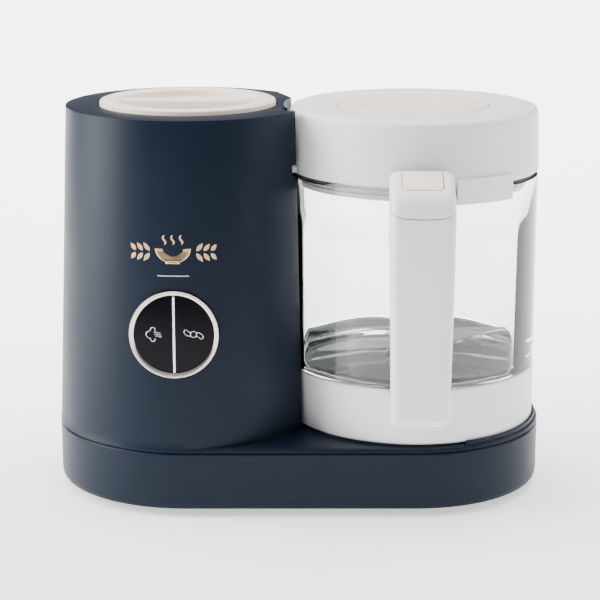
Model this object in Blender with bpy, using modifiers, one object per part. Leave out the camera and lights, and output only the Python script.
# Countertop baby food maker: a steam tower with a twist filler cap, a deck that carries a
# lift-off glass blending jar, and a belt drive in the tub under the deck.
# Metres, +Z up, +X from the tower towards the jar, -Y is the control and handle side.
import math
import bpy
import bmesh
from mathutils import Vector, Matrix

# ------------------------------------------------------------------ driving dimensions
AY = 0.015325           # Y of both upright axes
TX = -0.0630           # X of the tower axis
JX = 0.0653            # X of the jar axis
R_END_T = 0.0770       # base end radius round the tower
R_END_J = 0.0747       # base end radius round the jar
FOOT_H = 0.0040        # underside of the tub over the worktop
Z_SEAM = 0.0368        # tub rim
Z_DECK = 0.0400        # deck face
TOWER_R_TOP = 0.0692
TOWER_R_LOW = 0.0765
TOWER_TOP = 0.2211
SCALLOP_R = 0.0738     # hollow in the tower side, round the jar axis
SCALLOP_IN = 0.0810
WALL = 0.0028
WELL_R = 0.0508        # recess for the filler cap
CAP_R = 0.0500
CAP_TOP = 0.2237
CAP_RING_R = 0.0380
COLLAR_R = 0.0714
COLLAR_Z0 = 0.0412
COLLAR_Z1 = 0.0725
GLASS_R = 0.0712
GLASS_Z1 = 0.1850
FLOOR_Z = 0.0690       # inner floor of the jar
LID_R_LOW = 0.0715
LID_R_TOP = 0.0704
LID_Z0 = 0.1853
LID_TOP = 0.2207
DISC_R = 0.0426
HANDLE_FRONT = 0.1095  # handle face in front of the jar axis
HANDLE_HALF = 0.0171
HANDLE_X = 0.0014        # the handle stands a little to the right of the jar's axis
GRAPHIC_X = TX - 0.0038
RING_Z = 0.1046
RING_R = 0.0246
PULLEY_SMALL = 0.0125
PULLEY_LARGE = 0.0300
MOTOR_Y = 0.0100       # motor axis behind the tower axis
TAB_ANGLE = 199.5      # lid tab, degrees round the jar axis
SEG = 56
DETAIL = 0.44         # share of the full number of steps in turned and curved work

for o in list(bpy.data.objects):
    bpy.data.objects.remove(o, do_unlink=True)

PARTS = bpy.data.collections.new("baby_food_maker")
bpy.context.scene.collection.children.link(PARTS)
TOOLS = bpy.data.collections.new("cutters")
bpy.context.scene.collection.children.link(TOOLS)

MATS = {}


def mat(slot, rgb, rough=0.4, metal=0.0, trans=0.0):
    if slot in MATS:
        return MATS[slot]
    m = bpy.data.materials.new(slot)
    m.use_nodes = True
    b = m.node_tree.nodes["Principled BSDF"]
    b.inputs["Base Color"].default_value = (rgb[0], rgb[1], rgb[2], 1.0)
    b.inputs["Roughness"].default_value = rough
    b.inputs["Metallic"].default_value = metal
    b.inputs["Transmission Weight"].default_value = trans
    m.diffuse_color = (rgb[0], rgb[1], rgb[2], 1.0)
    MATS[slot] = m
    return m


# ------------------------------------------------------------------ building helpers
def new_obj(name, me, loc=(0, 0, 0), col=None):
    o = bpy.data.objects.new(name, me)
    o.location = loc
    (col or TOOLS).objects.link(o)
    return o


def bake(o):
    bpy.context.view_layer.update()
    dg = bpy.context.evaluated_depsgraph_get()
    me = bpy.data.meshes.new_from_object(o.evaluated_get(dg))
    o.modifiers.clear()
    o.data = me
    return o


def tidy(o, dist=2e-6):
    bm = bmesh.new()
    bm.from_mesh(o.data)
    bmesh.ops.remove_doubles(bm, verts=bm.verts, dist=dist)
    bmesh.ops.dissolve_degenerate(bm, edges=bm.edges, dist=1e-6)
    gaps = [e for e in bm.edges if len(e.link_faces) == 1]
    if gaps:
        bmesh.ops.holes_fill(bm, edges=gaps, sides=4)
    bmesh.ops.recalc_face_normals(bm, faces=bm.faces)
    bm.to_mesh(o.data)
    bm.free()
    return o


def lathe(name, prof, loc=(0, 0, 0), seg=SEG):
    """Turned body. prof: (r, z) points; a closed ring unless both ends lie on the axis."""
    seg = max(10, 2 * round(seg * DETAIL / 2))
    me = bpy.data.meshes.new(name)
    vs = [(r, 0.0, z) for r, z in prof]
    n = len(vs)
    es = [(i, i + 1) for i in range(n - 1)]
    if not (prof[0][0] == 0.0 and prof[-1][0] == 0.0):
        es.append((n - 1, 0))
    me.from_pydata(vs, es, [])
    o = new_obj(name, me, loc)
    m = o.modifiers.new("turn", "SCREW")
    m.axis = "Z"
    m.angle = 2 * math.pi
    m.screw_offset = 0
    m.steps = seg
    m.render_steps = seg
    m.use_merge_vertices = True
    m.merge_threshold = 1e-5
    bake(o)
    return tidy(o)


def loft(name, rings, loc=(0, 0, 0)):
    """Skin through rings of equal count, capped at both ends."""
    me = bpy.data.meshes.new(name)
    n = len(rings[0])
    vs = [p for r in rings for p in r]
    fs = []
    for k in range(len(rings) - 1):
        for i in range(n):
            j = (i + 1) % n
            fs.append((k * n + i, k * n + j, (k + 1) * n + j, (k + 1) * n + i))
    fs.append(tuple(range(n)))
    b = (len(rings) - 1) * n
    fs.append(tuple(b + i for i in range(n)))
    me.from_pydata(vs, [], fs)
    return tidy(new_obj(name, me, loc))


def loop_skin(name, cols, loc=(0, 0, 0)):
    """Ring-shaped skin: cols[j] is the closed section at step j round the axis."""
    me = bpy.data.meshes.new(name)
    n, k = len(cols), len(cols[0])
    vs = [p for c in cols for p in c]
    fs = []
    for j in range(n):
        j2 = (j + 1) % n
        for i in range(k):
            i2 = (i + 1) % k
            fs.append((j * k + i, j2 * k + i, j2 * k + i2, j * k + i2))
    me.from_pydata(vs, [], fs)
    return tidy(new_obj(name, me, loc))


def prism(name, pts, z0, z1, loc=(0, 0, 0), axis="Z"):
    """Flat outline pushed from z0 to z1 along an axis. axis X: pts are (y, z). axis Y: (x, z)."""
    cu = bpy.data.curves.new(name, "CURVE")
    cu.dimensions = "2D"
    cu.fill_mode = "BOTH"
    cu.extrude = (z1 - z0) / 2
    sp = cu.splines.new("POLY")
    sp.points.add(len(pts) - 1)
    for i, (x, y) in enumerate(pts):
        sp.points[i].co = (x, y, 0, 1)
    sp.use_cyclic_u = True
    o = new_obj(name, cu)
    bpy.context.view_layer.update()
    dg = bpy.context.evaluated_depsgraph_get()
    me = bpy.data.meshes.new_from_object(o.evaluated_get(dg))
    bpy.data.objects.remove(o, do_unlink=True)
    mid = (z0 + z1) / 2
    if axis == "Z":
        mx = Matrix.Translation((0, 0, mid))
    elif axis == "X":
        mx = Matrix(((0, 0, 1, mid), (1, 0, 0, 0), (0, 1, 0, 0), (0, 0, 0, 1)))
    else:
        mx = Matrix(((1, 0, 0, 0), (0, 0, -1, mid), (0, 1, 0, 0), (0, 0, 0, 1)))
    me.transform(mx)
    return tidy(new_obj(name, me, loc), 1e-5)


def box(name, x0, x1, y0, y1, z0, z1, loc=(0, 0, 0), bevel=0.0, seg=2):
    bm = bmesh.new()
    bmesh.ops.create_cube(bm, size=1.0)
    for v in bm.verts:
        v.co.x = x0 + (v.co.x + 0.5) * (x1 - x0)
        v.co.y = y0 + (v.co.y + 0.5) * (y1 - y0)
        v.co.z = z0 + (v.co.z + 0.5) * (z1 - z0)
    me = bpy.data.meshes.new(name)
    bm.to_mesh(me)
    bm.free()
    o = new_obj(name, me, loc)
    if bevel:
        soften(o, bevel, seg)
    return o


def soften(o, width, seg=2, angle=30):
    m = o.modifiers.new("edge", "BEVEL")
    m.width = width
    m.segments = seg
    m.limit_method = "ANGLE"
    m.angle_limit = math.radians(angle)
    m.use_clamp_overlap = True
    bake(o)
    return tidy(o)


def combine(o, other, op):
    m = o.modifiers.new("b", "BOOLEAN")
    m.operation = op
    m.solver = "EXACT"
    m.object = other
    other.hide_render = True
    other.display_type = "WIRE"
    bake(o)
    bpy.data.objects.remove(other, do_unlink=True)
    return tidy(o)


def cut(o, *others):
    for c in others:
        combine(o, c, "DIFFERENCE")
    return o


def add(o, *others):
    for c in others:
        combine(o, c, "UNION")
    return o


def common(o, c):
    return combine(o, c, "INTERSECT")


def rod(name, pts, r, loc=(0, 0, 0), res=4):
    cu = bpy.data.curves.new(name, "CURVE")
    cu.dimensions = "3D"
    cu.bevel_depth = r
    cu.bevel_resolution = res
    cu.use_fill_caps = True
    sp = cu.splines.new("POLY")
    sp.points.add(len(pts) - 1)
    for i, p in enumerate(pts):
        sp.points[i].co = (p[0], p[1], p[2], 1)
    o = new_obj(name, cu)
    bpy.context.view_layer.update()
    dg = bpy.context.evaluated_depsgraph_get()
    me = bpy.data.meshes.new_from_object(o.evaluated_get(dg))
    bpy.data.objects.remove(o, do_unlink=True)
    return tidy(new_obj(name, me, loc), 1e-6)


def arc(cx, cy, r, a0, a1, n, detail=DETAIL):
    n = max(2, round(n * detail))
    return [(cx + r * math.cos(math.radians(a0 + (a1 - a0) * i / n)),
             cy + r * math.sin(math.radians(a0 + (a1 - a0) * i / n))) for i in range(n + 1)]


def plan(off, n=16):
    """Base outline, pulled in by off; local to (0, 0) midway in world X."""
    r1, r2 = R_END_T - off, R_END_J - off
    a = math.degrees(math.acos((R_END_T - R_END_J) / (JX - TX)))
    return arc(JX, 0, r2, -a, a, n, 1.0) + arc(TX, 0, r1, a, 360 - a, n, 1.0)


def ring3(pts, z):
    return [(x, y, z) for x, y in pts]


def sector(r0, r1, a0, a1, n=6):
    return arc(0, 0, r1, a0, a1, n) + arc(0, 0, r0, a1, a0, n)


BASE = (0, AY, 0)
T = (TX, AY, 0)
J = (JX, AY, 0)


def finish(o, name, slot, rgb, origin=None, rough=0.4, metal=0.0, trans=0.0, smooth=True, ang=32):
    """Name, material, origin on its axis, and shading."""
    tidy(o)
    o.name = name
    o.data.name = name
    if origin is not None:
        d = Vector(o.location) - Vector(origin)
        o.data.transform(Matrix.Translation(d))
        o.location = origin
    o.data.materials.clear()
    o.data.materials.append(mat(slot, rgb, rough, metal, trans))
    for p in o.data.polygons:
        p.material_index = 0
        p.use_smooth = False
    if smooth:
        bm = bmesh.new()
        bm.from_mesh(o.data)
        lim = math.radians(ang)
        for f in bm.faces:
            f.smooth = True
        for e in bm.edges:
            e.smooth = not (len(e.link_faces) == 2 and e.calc_face_angle(0.0) > lim)
        bm.to_mesh(o.data)
        bm.free()
    for c in list(o.users_collection):
        c.objects.unlink(o)
    PARTS.objects.link(o)
    return o


NAVY = (0.030, 0.055, 0.095)
CREAM = (0.80, 0.74, 0.66)
WHITE = (0.83, 0.83, 0.81)
BLACK = (0.012, 0.012, 0.014)
STEEL = (0.60, 0.60, 0.60)
RUBBER = (0.03, 0.03, 0.03)

# ------------------------------------------------------------------ tub
tub = loft("tub", [
    ring3(plan(0.0030), FOOT_H), ring3(plan(0.0012), FOOT_H + 0.0006), ring3(plan(0.0003), FOOT_H + 0.0020),
    ring3(plan(0.0), FOOT_H + 0.0045), ring3(plan(0.0), Z_SEAM - 0.0008), ring3(plan(0.0006), Z_SEAM),
    ring3(plan(0.0026), Z_SEAM), ring3(plan(0.0026), FOOT_H + 0.0030)], BASE)
FEET = [(TX - 0.030, -0.042), (TX - 0.030, 0.042), (JX + 0.028, -0.042), (JX + 0.028, 0.042)]
SCREWS = [(TX - 0.0560, -0.0403), (TX - 0.0560, 0.0403), (JX + 0.048, -0.036), (JX + 0.048, 0.036)]
for i, (x, y) in enumerate(FEET):
    cut(tub, lathe("c", [(0, 0.0052), (0.0075, 0.0052), (0.0075, 0.003), (0, 0.003)], (x, AY + y, 0), 24))
for i, (x, y) in enumerate(SCREWS):
    add(tub, lathe("c", [(0, 0.0085), (0.0062, 0.0085), (0.0062, 0.0055), (0, 0.0055)], (x, AY + y, 0), 20))
    cut(tub, lathe("c", [(0, 0.0066), (0.0038, 0.0066), (0.0038, 0.003), (0, 0.003)], (x, AY + y, 0), 20))
    cut(tub, lathe("c", [(0, 0.012), (0.0020, 0.012), (0.0020, 0.005), (0, 0.005)], (x, AY + y, 0), 16))
# cable outlet in the back wall
cut(tub, prism("c", arc(0, 0.0190, 0.0052, 0, 345, 23), 0.060, 0.090, (TX, AY, 0), "Y"))
# air slots in the floor under the motor
for k in range(4):
    cut(tub, box("c", -0.014, 0.014, -0.0012, 0.0012, 0.002, 0.010, (TX - 0.004, AY - 0.0180 + 0.0085 * k - 0.006, 0)))
finish(tub, "base_tub", "navy_tub", NAVY, BASE)

for i, (x, y) in enumerate(FEET):
    f = lathe("f", [(0, 0.0), (0.0060, 0.0), (0.0068, 0.0008), (0.0072, 0.0049), (0, 0.0049)][::-1], (x, AY + y, 0), 24)
    finish(f, "foot_%d" % (i + 1), "foot_rubber", RUBBER, (x, AY + y, 0), 0.8)

for i, (x, y) in enumerate(SCREWS):
    s = lathe("s", [(0, 0.0064), (0.0034, 0.0064), (0.0034, 0.0046), (0.0030, 0.0042), (0, 0.0042)], (x, AY + y, 0), 20)
    add(s, lathe("s2", [(0, 0.0175), (0.0016, 0.0175), (0.0016, 0.0060), (0, 0.0060)], (x, AY + y, 0), 16))
    cut(s, box("c", -0.0026, 0.0026, -0.0004, 0.0004, 0.003, 0.0050, (x, AY + y, 0)))
    cut(s, box("c", -0.0004, 0.0004, -0.0026, 0.0026, 0.003, 0.0050, (x, AY + y, 0)))
    finish(s, "base_screw_%d" % (i + 1), "screw_steel", STEEL, (x, AY + y, 0), 0.3, 1.0)

gl = lathe("g", [(0.0028, 0.0), (0.0066, 0.0), (0.0066, 0.0016), (0.0049, 0.0016), (0.0049, 0.0056),
                 (0.0062, 0.0056), (0.0062, 0.0070), (0.0028, 0.0070)][::-1], (0, 0, 0), 28)
gl.data.transform(Matrix.Rotation(math.radians(90), 4, "X"))
gl.location = (TX, AY + R_END_T + 0.00185, 0.0190)
finish(gl, "cable_gland", "gland_rubber", RUBBER, None, 0.8)

# ------------------------------------------------------------------ housing: deck, tower, lip in one moulding
hs = loft("hs", [ring3(plan(0.0006), Z_SEAM + 0.0004), ring3(plan(0.0), Z_SEAM + 0.0010),
                 ring3(plan(0.0), Z_DECK - 0.0014), ring3(plan(0.0005), Z_DECK - 0.0004),
                 ring3(plan(0.0014), Z_DECK)], BASE)
# raised lip round the jar end of the deck
LIP_A = math.degrees(math.acos((R_END_T - R_END_J) / (JX - TX))) * 6 / 8
lip = prism("lip", arc(0, 0, R_END_J - 0.0015, -LIP_A, LIP_A, 12, 1.0) + arc(0, 0, R_END_J - 0.0028, LIP_A, -LIP_A, 12, 1.0),
            Z_DECK - 0.0013, Z_DECK + 0.0024, J)
soften(lip, 0.0004, 1)
tow = lathe("tow", [(0, TOWER_TOP), (TOWER_R_TOP, TOWER_TOP), (TOWER_R_LOW, 0.0440), (TOWER_R_LOW, 0.0385), (0, 0.0385)], T, 96)
# hollow that the jar stands in, with the back corner pulled in
sc = prism("sc", arc(0, 0, SCALLOP_R, 90, 270, 48) + [(0.02, -SCALLOP_R), (0.02, SCALLOP_R)], 0.030, 0.260, J)
cut(tow, sc)
wing = prism("wing", [(0.0480, 0.0530), (0.0608, 0.0160), (0.0800, 0.0160), (0.0800, 0.0700), (0.048, 0.0700)], 0.0410, 0.260, T)
cut(tow, wing)
soften(tow, 0.0024, 3, 28)
cut(tow, box("c", -0.09, 0.09, -0.09, 0.09, 0.02, 0.0390, T))
add(hs, lip, tow)
# inside of the tower, open below
core = lathe("core", [(0, TOWER_TOP - WALL), (TOWER_R_TOP - WALL - 0.0004, TOWER_TOP - WALL), (TOWER_R_LOW - WALL - 0.0006, 0.0440),
                      (TOWER_R_LOW - WALL - 0.0006, 0.0300), (0, 0.0300)], T, 72)
cut(core, prism("c", arc(0, 0, SCALLOP_IN, 90, 270, 40) + [(0.02, -SCALLOP_IN), (0.02, SCALLOP_IN)], 0.02, 0.26, J))
cut(core, prism("c", [(0.0440, 0.0510), (0.0570, 0.0150), (0.0800, 0.0150), (0.0800, 0.0700), (0.044, 0.0700)], 0.02, 0.26, T))
cut(hs, core)
# well for the filler cap
add(hs, lathe("well", [(0, 0.2204), (WELL_R + 0.0024, 0.2204), (WELL_R + 0.0024, 0.2104), (0, 0.2104)], T, 72))
cut(hs, lathe("c", [(0, 0.2300), (WELL_R, 0.2300), (WELL_R, 0.2128), (0, 0.2128)], T, 72))
cut(hs, lathe("c", [(0, 0.2200), (0.0372, 0.2200), (0.0372, 0.2000), (0, 0.2000)], T, 48))
# locating rim that drops inside the tub wall
rim = loop_skin("rim", [[(x0, y0, Z_SEAM + 0.0010), (x0, y0, 0.0310), (x1, y1, 0.0310), (x1, y1, Z_SEAM + 0.0010)]
                        for (x0, y0), (x1, y1) in zip(plan(0.0030), plan(0.0048))], BASE)
add(hs, rim)
# pedestal ring and hub that the jar stands over
add(hs, lathe("ped", [(0.0480, 0.0450), (0.0520, 0.0450), (0.0520, 0.0388), (0.0480, 0.0388)], J))
add(hs, lathe("hub", [(0, 0.0436), (0.0128, 0.0436), (0.0132, 0.0432), (0.0132, 0.0262), (0, 0.0262)], J, 40))
cut(hs, lathe("c", [(0, 0.0500), (0.0093, 0.0500), (0.0093, 0.0200), (0, 0.0200)], J, 40))
# posts that take the screws from below
for (x, y) in SCREWS:
    add(hs, lathe("post", [(0, 0.0388), (0.0046, 0.0388), (0.0042, 0.0088), (0, 0.0088)], (x, AY + y, 0), 20))
    cut(hs, lathe("c", [(0, 0.0190), (0.0019, 0.0190), (0.0019, 0.0050), (0, 0.0050)], (x, AY + y, 0), 16))
# slot for the lid tab, open to the front, and the keyway above it
SLOT = sector(0.0700, 0.0776, TAB_ANGLE - 4.6, TAB_ANGLE + 22, 14)
cut(hs, prism("slot", SLOT, 0.1842, 0.1916, J))
cut(hs, prism("key", sector(0.0704, 0.0774, TAB_ANGLE - 4.45, TAB_ANGLE + 4.4, 10), 0.1882, 0.2400, J))
# seat for the control ring in the tower front
ry = -(TOWER_R_TOP + (TOWER_R_LOW - TOWER_R_TOP) * (TOWER_TOP - RING_Z) / (TOWER_TOP - 0.044))
ctl = prism("c", arc(0, RING_Z, RING_R + 0.0003, 0, 352.5, 47), -0.0820, -0.0560, (GRAPHIC_X, AY, 0), "Y")
cut(hs, ctl)
# steam outlet through the hollow
cut(hs, prism("c", arc(0, 0.2010, 0.0048, 0, 345, 23), 0.040, 0.060, (TX, AY + 0.010, 0), "X"))
finish(hs, "housing", "navy_plastic", NAVY, BASE)

# ------------------------------------------------------------------ filler neck, tank, heater
neck = lathe("neck", [(0.0310, 0.2120), (0.0366, 0.2120), (0.0366, 0.1996), (0.0395, 0.1996), (0.0395, 0.1966), (0.0310, 0.1966)], T, 48)
for a in (0, 180):
    cut(neck, prism("c", sector(0.0300, 0.0340, a - 9, a + 9, 4), 0.1990, 0.2200, T))
    cut(neck, prism("c", sector(0.0300, 0.0340, a - 72, a + 9, 12), 0.1988, 0.2052, T))
finish(neck, "filler_neck", "neck_plastic", (0.20, 0.22, 0.25), T)

tank = lathe("tank", [(0.0300, 0.1962), (0.0390, 0.1962), (0.0410, 0.1942), (0.0410, 0.1440), (0.0390, 0.1420), (0, 0.1420),
                      ][:5] + [(0.0, 0.1420)] if False else
             [(0.0, 0.1420), (0.0390, 0.1420), (0.0410, 0.1440), (0.0410, 0.1942), (0.0390, 0.1962), (0.0300, 0.1962),
              (0.0300, 0.1948), (0.0396, 0.1948), (0.0396, 0.1434), (0.0, 0.1434)], T, 48)
finish(tank, "boiler_tank", "tank_steel", STEEL, T, 0.3, 1.0)

heat = lathe("heat", [(0.0200, 0.1416), (0.0360, 0.1416), (0.0360, 0.1376), (0.0200, 0.1376)], T, 48)
finish(heat, "heating_ring", "heater_aluminium", (0.66, 0.66, 0.67), T, 0.45, 1.0)
th = lathe("th", [(0, 0.1416), (0.0085, 0.1416), (0.0085, 0.1346), (0, 0.1346)], T, 24)
add(th, box("l", -0.0030, -0.0020, -0.0016, 0.0016, 0.1286, 0.1350, T), box("l", 0.0020, 0.0030, -0.0016, 0.0016, 0.1286, 0.1350, T))
finish(th, "thermostat", "thermostat_black", BLACK, T)
# tank cradle: a plate hung in the tower
cr = lathe("cr", [(0.0415, 0.1500), (0.0440, 0.1500), (0.0440, 0.1360), (0.0385, 0.1360), (0.0385, 0.1385), (0.0415, 0.1385)], T, 48)
finish(cr, "tank_cradle", "cradle_plastic", (0.25, 0.25, 0.26), T)
# steam pipe from the tank shoulder to the outlet
pp = [(0.0416, 0.010, 0.1900), (0.0440, 0.010, 0.1900), (0.0452, 0.010, 0.1905), (0.0458, 0.010, 0.1920), (0.0458, 0.010, 0.1985),
      (0.0463, 0.010, 0.2003), (0.0475, 0.010, 0.2010), (0.0482, 0.010, 0.2010)]
pipe = rod("pipe", pp, 0.0018, T, 3)
finish(pipe, "steam_pipe", "pipe_silicone", (0.75, 0.75, 0.74), T, 0.5)
sl = lathe("sl", [(0.0022, 0.0), (0.0045, 0.0), (0.0045, 0.0052), (0.0022, 0.0052)], (0, 0, 0), 28)
sl.data.transform(Matrix.Rotation(math.radians(90), 4, "Y"))
sl.location = (TX + 0.0492, AY + 0.010, 0.2010)
finish(sl, "steam_outlet_seal", "seal_silicone", (0.70, 0.70, 0.70), None, 0.6)

# ------------------------------------------------------------------ filler cap
cap = lathe("cap", [(0.0, 0.2189), (CAP_RING_R - 0.0016, 0.2189), (CAP_RING_R - 0.0002, 0.2199), (CAP_RING_R + 0.0008, 0.2229),
                    (CAP_RING_R + 0.0024, CAP_TOP), (CAP_R - 0.0016, CAP_TOP), (CAP_R - 0.0004, 0.2232), (CAP_R, 0.2221),
                    (CAP_R, 0.2146), (CAP_R - 0.0006, 0.2140), (CAP_R - 0.0022, 0.2140), (CAP_R - 0.0022, 0.2172),
                    (0.0290, 0.2172), (0.0290, 0.2002), (0.0262, 0.2002), (0.0262, 0.2172), (0.0, 0.2172)], T, 72)
bar = prism("bar", [(-0.0376, -0.0046), (-0.030, -0.0062), (0.030, -0.0062), (0.0376, -0.0046), (0.0376, 0.0046), (0.030, 0.0062),
                    (-0.030, 0.0062), (-0.0376, 0.0046)], 0.2183, 0.2234, T)
soften(bar, 0.0010, 2)
lug = prism("lug", sector(0.0280, 0.0332, -7, 7, 4), 0.2004, 0.2040, T)
lug2 = prism("lug2", sector(0.0280, 0.0332, 173, 187, 4), 0.2004, 0.2040, T)
add(cap, bar, lug, lug2)
finish(cap, "filler_cap", "cap_cream", CREAM, T)
cs = lathe("cs", [(0.0296, 0.2168), (0.0352, 0.2168), (0.0352, 0.2124), (0.0318, 0.2124), (0.0296, 0.2146)][:], T, 48)
finish(cs, "filler_cap_seal", "seal_silicone", (0.70, 0.70, 0.70), T, 0.6)

# ------------------------------------------------------------------ controls
RC = (GRAPHIC_X, AY, RING_Z)


def face_y(r):
    return ry


def turned_y(name, prof, loc, seg=48):
    """Turned body whose axis runs along Y; prof is (r, depth) with depth growing to -Y."""
    o = lathe(name, prof, (0, 0, 0), seg)
    o.data.transform(Matrix.Rotation(math.radians(90), 4, "X"))
    o.location = loc
    return o


YF = -ry                 # how far the ring plane stands in front of the tower axis
rg = turned_y("rg", [(RING_R - 0.0026, YF - 0.0040), (RING_R - 0.0026, YF + 0.0001), (RING_R - 0.0016, YF + 0.0007), (RING_R - 0.0012, YF + 0.0007),
                     (RING_R - 0.0011, YF - 0.0003), (RING_R - 0.0008, YF - 0.0003), (RING_R - 0.0007, YF + 0.0009),
                     (RING_R - 0.0002, YF + 0.0009), (RING_R, YF + 0.0005), (RING_R, YF - 0.0100), (RING_R - 0.0018, YF - 0.0100),
                     (RING_R - 0.0018, YF - 0.0040)], RC, 64)
finish(rg, "control_ring", "rose_metal", (0.72, 0.50, 0.44), None, 0.25, 1.0)
HALF_GAP = 0.0010
for side, nm in ((-1, "steam_button"), (1, "blend_button")):
    R = RING_R - 0.0030
    a0 = math.degrees(math.asin(HALF_GAP / R))
    if side > 0:
        pts = arc(0, 0, R, -90 + a0, 90 - a0, 28)
    else:
        pts = arc(0, 0, R, 90 + a0, 270 - a0, 28)
    b = prism("b", pts, -(YF + 0.0006), -(YF - 0.0030), RC, "Y")
    soften(b, 0.0005, 2)
    st = prism("st", arc(side * 0.0095, 0, 0.0024, 0, 330, 11), -(YF - 0.0020), -(YF - 0.0078), RC, "Y")
    add(b, st)
    finish(b, nm, "button_black", BLACK, (RC[0] + side * 0.0095, AY - YF, RING_Z), 0.3)
dv = box("dv", -0.0007, 0.0007, -(YF + 0.0007), -(YF - 0.0046), -(RING_R - 0.0032), RING_R - 0.0032, RC, 0.0002, 1)
finish(dv, "button_divider", "divider_metal", (0.75, 0.74, 0.72), None, 0.25, 1.0)
# guide plate behind the buttons, board and switches
gp = turned_y("gp", [(0, YF - 0.0072), (RING_R - 0.0022, YF - 0.0072), (RING_R - 0.0022, YF - 0.0050), (0, YF - 0.0050)], RC, 48)
for sx in (-0.0095, 0.0095):
    cut(gp, prism("c", arc(sx, 0, 0.0028, 0, 330, 11), -(YF + 0.01), -(YF - 0.02), RC, "Y"))
finish(gp, "button_guide", "guide_plastic", (0.05, 0.05, 0.055), None)
for side, nm in ((-1, "steam_switch"), (1, "blend_switch")):
    s = box("s", -0.0030, 0.0030, -(YF - 0.0112), -(YF - 0.0140), -0.0030, 0.0030, (RC[0] + side * 0.0095, AY, RING_Z), 0.0003, 1)
    add(s, prism("p", arc(0, 0, 0.0016, 0, 330, 11), -(YF - 0.0096), -(YF - 0.0120), (RC[0] + side * 0.0095, AY, RING_Z), "Y"))
    finish(s, nm, "switch_black", (0.03, 0.03, 0.03), None)
pcb = box("pcb", -0.0240, 0.0240, -(YF - 0.0143), -(YF - 0.0159), -0.0190, 0.0190, RC, 0.0)
finish(pcb, "control_board", "board_green", (0.03, 0.16, 0.07), None, 0.5, smooth=False)

# ------------------------------------------------------------------ motor and belt drive
M = (TX, AY + MOTOR_Y, 0)
mot = lathe("mot", [(0.0, 0.1040), (0.0240, 0.1040), (0.0265, 0.1020), (0.0265, 0.0375), (0.0250, 0.0360), (0.0034, 0.0360), (0.0034, 0.0480), (0, 0.0480)], M, 40)
finish(mot, "motor", "motor_steel", (0.45, 0.46, 0.48), M, 0.4, 1.0)
br = prism("br", [(-0.036, -0.030), (0.036, -0.030), (0.036, 0.030), (-0.036, 0.030)], 0.0322, 0.0356, M)
soften(br, 0.0006, 1)
cut(br, lathe("c", [(0, 0.05), (0.0050, 0.05), (0.0050, 0.02), (0, 0.02)], M, 24))
# The bracket hangs from two posts in the tower
for sx in (-1, 1):
    cut(br, lathe("c", [(0, 0.05), (0.0020, 0.05), (0.0020, 0.02), (0, 0.02)], (M[0] + sx * 0.0315, M[1], 0), 16))
finish(br, "motor_bracket", "bracket_steel", (0.55, 0.55, 0.56), M, 0.4, 1.0)
sp = lathe("sp", [(0, 0.0470), (0.0030, 0.0470), (0.0030, 0.0262), (0.0060, 0.0262), (PULLEY_SMALL + 0.0012, 0.0252), (PULLEY_SMALL + 0.0012, 0.0236),
                  (PULLEY_SMALL, 0.0230), (PULLEY_SMALL, 0.0142), (PULLEY_SMALL + 0.0012, 0.0136), (PULLEY_SMALL + 0.0012, 0.0122), (0, 0.0122)], M, 36)
cut(sp, box("c", 0.0070, 0.0084, -0.003, 0.003, 0.010, 0.0130, M))
finish(sp, "motor_pulley", "pulley_steel", STEEL, M, 0.35, 1.0)
lp = lathe("lp", [(0.0, 0.0245), (PULLEY_LARGE + 0.0012, 0.0245), (PULLEY_LARGE + 0.0012, 0.0234), (PULLEY_LARGE, 0.0228), (PULLEY_LARGE, 0.0144),
                  (PULLEY_LARGE + 0.0012, 0.0138), (PULLEY_LARGE + 0.0012, 0.0126), (0.0270, 0.0126), (0.0260, 0.0190), (0.0100, 0.0190), (0.0090, 0.0110), (0.0, 0.0110)], J, 56)
for k in range(3):
    a = math.radians(120 * k)
    cut(lp, lathe("c", [(0, 0.03), (0.0052, 0.03), (0.0052, 0.01), (0, 0.01)], (JX + 0.0180 * math.cos(a), AY + 0.0180 * math.sin(a), 0), 20))
add(lp, lathe("shaft", [(0, 0.0462), (0.0040, 0.0462), (0.0040, 0.0200), (0, 0.0200)], J, 24))
finish(lp, "driven_pulley", "pulley_plastic", (0.10, 0.10, 0.11), J)
# belt, an open loop round both pulleys
bx = JX - TX
by = -MOTOR_Y
dist = math.hypot(bx, by)
ang = math.atan2(by, bx)
ta = math.degrees(math.acos((PULLEY_SMALL - PULLEY_LARGE) / dist))
ad = math.degrees(ang)


def belt_outline(off):
    return (arc(0, 0, PULLEY_SMALL + off, ad + ta, ad + 360 - ta, 18)
            + arc(bx, by, PULLEY_LARGE + off, ad - ta, ad + ta, 34))


belt = loop_skin("belt", [[(x0, y0, 0.0150), (x0, y0, 0.0222), (x1, y1, 0.0222), (x1, y1, 0.0150)]
                          for (x0, y0), (x1, y1) in zip(belt_outline(0.00035), belt_outline(0.0019))], M)
finish(belt, "drive_belt", "belt_rubber", (0.02, 0.02, 0.02), M, 0.7)
bs = lathe("bs", [(0.0043, 0.0442), (0.0118, 0.0442), (0.0118, 0.0439), (0.0090, 0.0439), (0.0090, 0.0266), (0.0043, 0.0266)], J, 32)
finish(bs, "shaft_bush", "bush_bronze", (0.50, 0.33, 0.16), J, 0.4, 1.0)
dog_pts = []
for i in range(24):
    a = 2 * math.pi * i / 24
    dog_pts.append(((0.0078 + 0.0016 * math.cos(6 * a)) * math.cos(a), (0.0078 + 0.0016 * math.cos(6 * a)) * math.sin(a)))
dog = prism("dog", dog_pts, 0.0465, 0.0540, J)
soften(dog, 0.0005, 1)
finish(dog, "drive_dog", "dog_plastic", (0.07, 0.07, 0.08), J)

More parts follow.
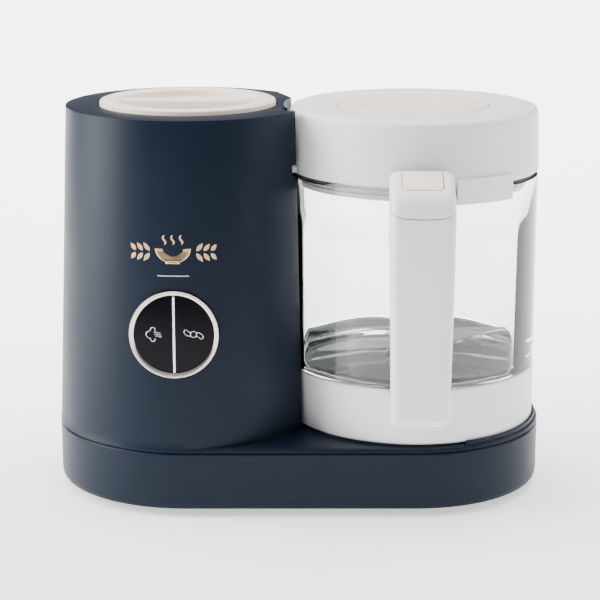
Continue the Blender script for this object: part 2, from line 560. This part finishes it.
# ------------------------------------------------------------------ lid interlock switch
u = math.radians(TAB_ANGLE)
sw = box("sw", 0.0818, 0.0878, -0.0055, 0.0055, 0.1780, 0.1940)
sw.data.transform(Matrix.Rotation(u, 4, "Z"))
sw.location = J
finish(sw, "interlock_switch", "switch_black", (0.03, 0.03, 0.03), None)

# ------------------------------------------------------------------ jar
FACETS = 6
N = 36


def inner_r(a, z, r_round):
    """Softly six-sided bore below the shoulder, round above it."""
    k = math.pi / FACETS
    p = (a - math.radians(25.0)) % (2 * k) - k
    flat = r_round * math.cos(k) / math.cos(p)
    w = min(1.0, max(0.0, (0.1630 - z) / 0.0130))
    blend = 0.34 * w
    return r_round * (1 - blend) + flat * blend


cols = []
OUT = [(0.0690, GLASS_Z1), (0.0700, 0.1843), (0.0712, 0.1830), (GLASS_R, 0.1600), (GLASS_R, 0.0740), (0.0704, 0.0729), (0.0672, 0.0729),
       (0.0672, 0.0650), (0.0662, 0.0640), (0.0112, 0.0640), (0.0112, FLOOR_Z)]
INN = [(0.0560, FLOOR_Z, 0), (0.0600, 0.0697, 0), (0.0628, 0.0715, 1), (0.0642, 0.0740, 1), (0.0648, 0.0775, 1), (0.0655, 0.1500, 1), (0.0656, 0.1545, 1), (0.0657, 0.1590, 1), (0.0658, 0.1630, 1),
       (0.0660, 0.1835, 1), (0.0670, GLASS_Z1, 0)]
for j in range(N):
    a = 2 * math.pi * j / N
    c, s = math.cos(a), math.sin(a)
    sec = [(r * c, r * s, z) for r, z in OUT]
    for r, z, f in INN:
        rr = inner_r(a, z, r) if z < 0.18 and r > 0.05 else r
        sec.append((rr * c, rr * s, z))
    cols.append(sec)
glass = loop_skin("glass", cols, J)
JH = (JX + HANDLE_X, AY, 0)
gl_lug = box("gl_lug", -0.0110, 0.0110, -0.0790, -0.0690, 0.1560, 0.1740, JH, 0.0012, 2)
add(glass, gl_lug)
finish(glass, "jar_glass", "clear_glass", (0.92, 0.96, 0.97), J, 0.02, 0.0, 1.0)

col = lathe("col", [(0.0610, 0.0637), (0.0676, 0.0637), (0.0676, 0.0722), (0.0680, COLLAR_Z1), (0.0706, COLLAR_Z1), (COLLAR_R, 0.0716), (COLLAR_R, COLLAR_Z0 + 0.0010),
                    (COLLAR_R - 0.0010, COLLAR_Z0), (0.0684, COLLAR_Z0), (0.0684, 0.0604), (0.0610, 0.0604)], J, 72)
lugc = box("lugc", -0.0060, 0.0060, -0.0795, -0.0695, 0.0670, 0.0702, JH, 0.0006, 1)
add(col, lugc)
finish(col, "jar_collar", "collar_white", WHITE, J)

hb = lathe("hb", [(0.0045, 0.0771), (0.0085, 0.0771), (0.0100, 0.0761), (0.0180, 0.0741), (0.0188, 0.0731), (0.0188, 0.0715), (0.0107, 0.0715), (0.0107, 0.0570), (0.0045, 0.0570)], J, 44)
finish(hb, "blade_hub", "hub_black", BLACK, J)
hsl = lathe("hsl", [(0.0116, 0.0712), (0.0184, 0.0712), (0.0184, 0.0693), (0.0116, 0.0693)], J, 40)
finish(hsl, "hub_seal", "seal_silicone", (0.70, 0.70, 0.70), J, 0.6)
nut = lathe("nut", [(0.0110, 0.0637), (0.0190, 0.0637), (0.0190, 0.0611), (0.0110, 0.0611)], J, 40)
for k in range(4):
    a = math.radians(45 + 90 * k)
    cut(nut, lathe("c", [(0, 0.07), (0.0022, 0.07), (0.0022, 0.05), (0, 0.05)], (JX + 0.0195 * math.cos(a), AY + 0.0195 * math.sin(a), 0), 14))
finish(nut, "hub_nut", "nut_white", WHITE, J)
# spindle with the socket that drops over the drive dog
spn = lathe("spn", [(0, 0.0850), (0.0026, 0.0850), (0.0026, 0.0775), (0.0041, 0.0775), (0.0041, 0.0566), (0.0125, 0.0566), (0.0125, 0.0470), (0, 0.0470)], J, 32)
soc_pts = []
for i in range(24):
    a = 2 * math.pi * i / 24
    soc_pts.append(((0.0085 + 0.0016 * math.cos(6 * a)) * math.cos(a), (0.0085 + 0.0016 * math.cos(6 * a)) * math.sin(a)))
cut(spn, prism("c", soc_pts, 0.0440, 0.0546, J))
finish(spn, "blade_spindle", "spindle_steel", STEEL, J, 0.3, 1.0)

# two-wing blade: one wing rises, the other dips
BL = 0.0520
top, bot = [], []


def blade_solid():
    rows = []
    n = 26
    for i in range(n + 1):
        t = -1 + 2 * i / n
        x = t * BL
        w = 0.0075 if abs(t) < 0.16 else 0.0082 * (1 - ((abs(t) - 0.16) / 0.84) ** 2.2) + 0.0012
        sweep = 0.0060 * (abs(t) ** 1.6) * (1 if t > 0 else -1)
        rise = 0.0
        if abs(t) > 0.2:
            k = (abs(t) - 0.2) / 0.8
            rise = 0.0040 * k ** 1.3 if t > 0 else -0.0008 * k
        z = 0.0793 + rise
        h = 0.0006
        e = 0.0002
        rows.append([(x, sweep - w, z - e), (x, sweep + w * 0.8, z - h), (x, sweep + w, z - h), (x, sweep + w, z + h),
                     (x, sweep + w * 0.8, z + h), (x, sweep - w, z + e)])
    return loft("blade", rows, J)


blade = blade_solid()
cut(blade, lathe("c", [(0, 0.10), (0.0029, 0.10), (0.0029, 0.07), (0, 0.07)], J, 20))
BR = math.radians(8)
blade.data.transform(Matrix.Rotation(BR, 4, "Z"))
finish(blade, "blade", "blade_steel", (0.75, 0.75, 0.76), J, 0.15, 1.0)
bn = lathe("bn", [(0.0030, 0.0825), (0.0050, 0.0820), (0.0058, 0.0810), (0.0058, 0.0803), (0.0030, 0.0803)], J, 24)
finish(bn, "blade_nut", "blade_nut_steel", STEEL, J, 0.25, 1.0)

# ------------------------------------------------------------------ handle
HF = -HANDLE_FRONT
outer_side = [(-0.0742, 0.1955), (-0.0800, 0.1960), (-0.0900, 0.1935), (-0.1010, 0.1895), (-0.1060, 0.1860), (-0.1085, 0.1815), (HF, 0.1750),
              (HF, 0.0760), (HF + 0.0012, 0.0666), (HF + 0.0048, 0.0626), (HF + 0.0100, 0.0614), (-0.0900, 0.0632), (-0.0717, 0.0648)]
inner_side = [(-0.0717, 0.0720), (-0.0900, 0.0720), (-0.0945, 0.0748), (-0.0960, 0.0800), (-0.0960, 0.1500), (-0.0945, 0.1538), (-0.0900, 0.1555),
              (-0.0742, 0.1555)]
FRONT_ROUND = 0.0046
ROUND_STEPS = 4


def handle_body():
    """Handle in one piece: side profile with well rounded outer edges, narrower towards its foot."""
    o = prism("handle", outer_side + inner_side, -HANDLE_HALF, HANDLE_HALF, (0, 0, 0), "X")
    bm = bmesh.new()
    bm.from_mesh(o.data)
    bmesh.ops.dissolve_limit(bm, angle_limit=math.radians(0.5), verts=bm.verts[:], edges=bm.edges[:])
    ends = {(round(y, 4), round(z, 4)) for y, z in outer_side}
    edges = [e for e in bm.edges if all((round(v.co.y, 4), round(v.co.z, 4)) in ends for v in e.verts)
             and abs(e.verts[0].co.x - e.verts[1].co.x) < 1e-5]
    edges = [e for e in edges if not (abs(e.verts[0].co.y - e.verts[1].co.y) < 1e-5 and abs(e.verts[0].co.y) < 0.080)]
    bmesh.ops.bevel(bm, geom=edges, offset=FRONT_ROUND, offset_type="OFFSET", segments=ROUND_STEPS, profile=0.5, affect="EDGES", clamp_overlap=True)
    for z in (0.150, 0.127, 0.103, 0.080):
        bmesh.ops.bisect_plane(bm, geom=bm.verts[:] + bm.edges[:] + bm.faces[:], plane_co=(0, 0, z), plane_no=(0, 0, 1), dist=1e-6)
    for v in bm.verts:
        v.co.x *= 1 - 0.0012 / HANDLE_HALF * max(0.0, min(1.0, (0.150 - v.co.z) / 0.070))
    bm.to_mesh(o.data)
    bm.free()
    o.location = JH
    tidy(o)
    foot = [(0.0108 * sx + 0.0055 * math.cos(math.radians(a)), 0.0665 + 0.0055 * math.sin(math.radians(a)))
            for sx, a0 in ((-1, 180), (1, 270)) for a in range(a0, a0 + 91, 15)]
    return common(o, prism("c", foot + [(0.0300, 0.0700), (0.0300, 0.2200), (-0.0300, 0.2200), (-0.0300, 0.0700)], -0.130, -0.060, JH, "Y"))


def seam(x):
    t = x / HANDLE_HALF
    return SEAM_Z + 0.0012 * t * t + 0.0022 * t ** 6


SEAM_Z = 0.1764
cross = [-0.0190 + 0.0380 * i / 18 for i in range(19)]
head = common(handle_body(), prism("c", [(x, seam(x)) for x in cross] + [(0.0300, 0.2300), (-0.0300, 0.2300)], -0.130, -0.060, JH, "Y"))
grip = common(handle_body(), prism("c", [(x, seam(x) - 0.0005) for x in reversed(cross)] + [(-0.0300, 0.0400), (0.0300, 0.0400)], -0.130, -0.060, JH, "Y"))
soften(head, 0.0006, 1, 40)
soften(grip, 0.0006, 1, 40)
# room for the glass lug and the collar lug
lug_room = box("c", -0.0114, 0.0114, -0.0794, -0.0680, 0.1540, 0.1744, JH)
cut(grip, lug_room)
cut(grip, box("c", -0.0063, 0.0063, -0.0798, -0.0680, 0.0667, 0.0705, JH))
# well for the release pad and the room under it
PAD_Y0, PAD_Y1 = -0.0795, -0.1000


def pad_plan(off):
    r = 0.0028 + off
    x, y = 0.0107 - 0.0028, PAD_Y1 + 0.0028
    pts = [(-0.0107 - off, PAD_Y0 + off)]
    pts += [(-x + r * math.cos(math.radians(a)), y + r * math.sin(math.radians(a))) for a in range(180, 271, 18)]
    pts += [(x + r * math.cos(math.radians(a)), y + r * math.sin(math.radians(a))) for a in range(270, 361, 18)]
    return pts + [(0.0107 + off, PAD_Y0 + off)]


cut(head, prism("c", pad_plan(0.0004), 0.1800, 0.2100, JH))
# tenon of the grip up into the head
cut(head, box("c", -0.0083, 0.0083, -0.1023, -0.0867, 0.1640, 0.1786, JH))
add(grip, box("ten", -0.0080, 0.0080, -0.1020, -0.0870, 0.1640, 0.1781, JH))
finish(head, "handle_head", "handle_white", WHITE, J)
finish(grip, "handle_grip", "handle_white", WHITE, J)

pad_pts = [(PAD_Y0 + 0.001, 0.1870), (PAD_Y0 + 0.001, 0.1964), (-0.0830, 0.1957), (-0.0900, 0.1939), (PAD_Y1, 0.1903), (PAD_Y1 - 0.001, 0.1899), (PAD_Y1 - 0.001, 0.1870)]
pad = prism("pad", pad_pts, -0.0120, 0.0120, JH, "X")
common(pad, prism("c", pad_plan(0.0), 0.1800, 0.2100, JH))
soften(pad, 0.0006, 2, 40)
cut(pad, lathe("c", [(0, 0.1900), (0.0042, 0.1900), (0.0042, 0.1800), (0, 0.1800)], (JH[0], AY - 0.0897, 0), 20))
finish(pad, "release_pad", "pad_cream", CREAM, (JH[0], AY - 0.0897, 0.1870))
# return spring under the pad
n_turn, pts = 4, []
for i in range(n_turn * 8 + 1):
    a = 2 * math.pi * i / 8
    pts.append((0.0030 * math.cos(a), 0.0030 * math.sin(a), 0.1808 + 0.0084 * i / (n_turn * 8)))
spr = rod("spr", pts, 0.00035, (JH[0], AY - 0.0897, 0), 0)
finish(spr, "release_spring", "spring_steel", STEEL, (JH[0], AY - 0.0897, 0), 0.3, 1.0)

# ------------------------------------------------------------------ lid
lid = lathe("lid", [(DISC_R + 0.0004, LID_TOP - 0.0002), (DISC_R + 0.0008, LID_TOP), (0.0672, LID_TOP), (0.0690, LID_TOP - 0.0006), (0.0700, LID_TOP - 0.0018), (LID_R_TOP, LID_TOP - 0.0036),
                    (LID_R_LOW, LID_Z0 + 0.0008), (LID_R_LOW - 0.0008, LID_Z0), (0.0644, LID_Z0), (0.0644, 0.1838), (0.0624, 0.1838), (0.0624, 0.1798), (0.0644, 0.1798), (0.0640, 0.1772),
                    (0.0608, 0.1764), (0.0602, 0.1784), (0.0602, 0.2170), (0.0400, 0.2170), (0.0400, 0.2186), (DISC_R + 0.0004, 0.2186)], J, 84)
# curved lug in front, beside the handle head
front = 270.0
lug = prism("lug", sector(0.0714, 0.0730, front + 17, front + 46, 12), 0.1762, 0.1872, J)
rib = prism("rib", sector(0.0705, 0.0730, front + 17, front + 46, 12), 0.1862, 0.1900, J)
soften(lug, 0.0004, 1)
add(lid, rib, lug)
# tab that reaches into the tower slot
tab = prism("tab", sector(0.0700, 0.0765, TAB_ANGLE - 3.4, TAB_ANGLE + 3.4, 4), 0.1862, 0.1892, J)
soften(tab, 0.0004, 1)
add(lid, tab)
finish(lid, "lid_shell", "lid_white", WHITE, J)
gk = lathe("gk", [(0.0627, 0.1835), (0.0640, 0.1835), (0.0652, 0.1825), (0.0652, 0.1811), (0.0640, 0.1801), (0.0627, 0.1801)], J, 84)
finish(gk, "lid_gasket", "seal_silicone", (0.70, 0.70, 0.70), J, 0.6)
dc = lathe("dc", [(0, LID_TOP + 0.0004), (DISC_R - 0.0010, LID_TOP + 0.0004), (DISC_R, LID_TOP - 0.0004), (DISC_R, 0.2190), (0.0396, 0.2190), (0.0396, 0.2090), (0.0372, 0.2080),
                  (0.0372, 0.2180), (0, 0.2180)], J, 64)
finish(dc, "lid_disc", "disc_cream", CREAM, J)

# centre of the finished piece
bpy.context.view_layer.update()
for o in list(TOOLS.objects):
    bpy.data.objects.remove(o, do_unlink=True)
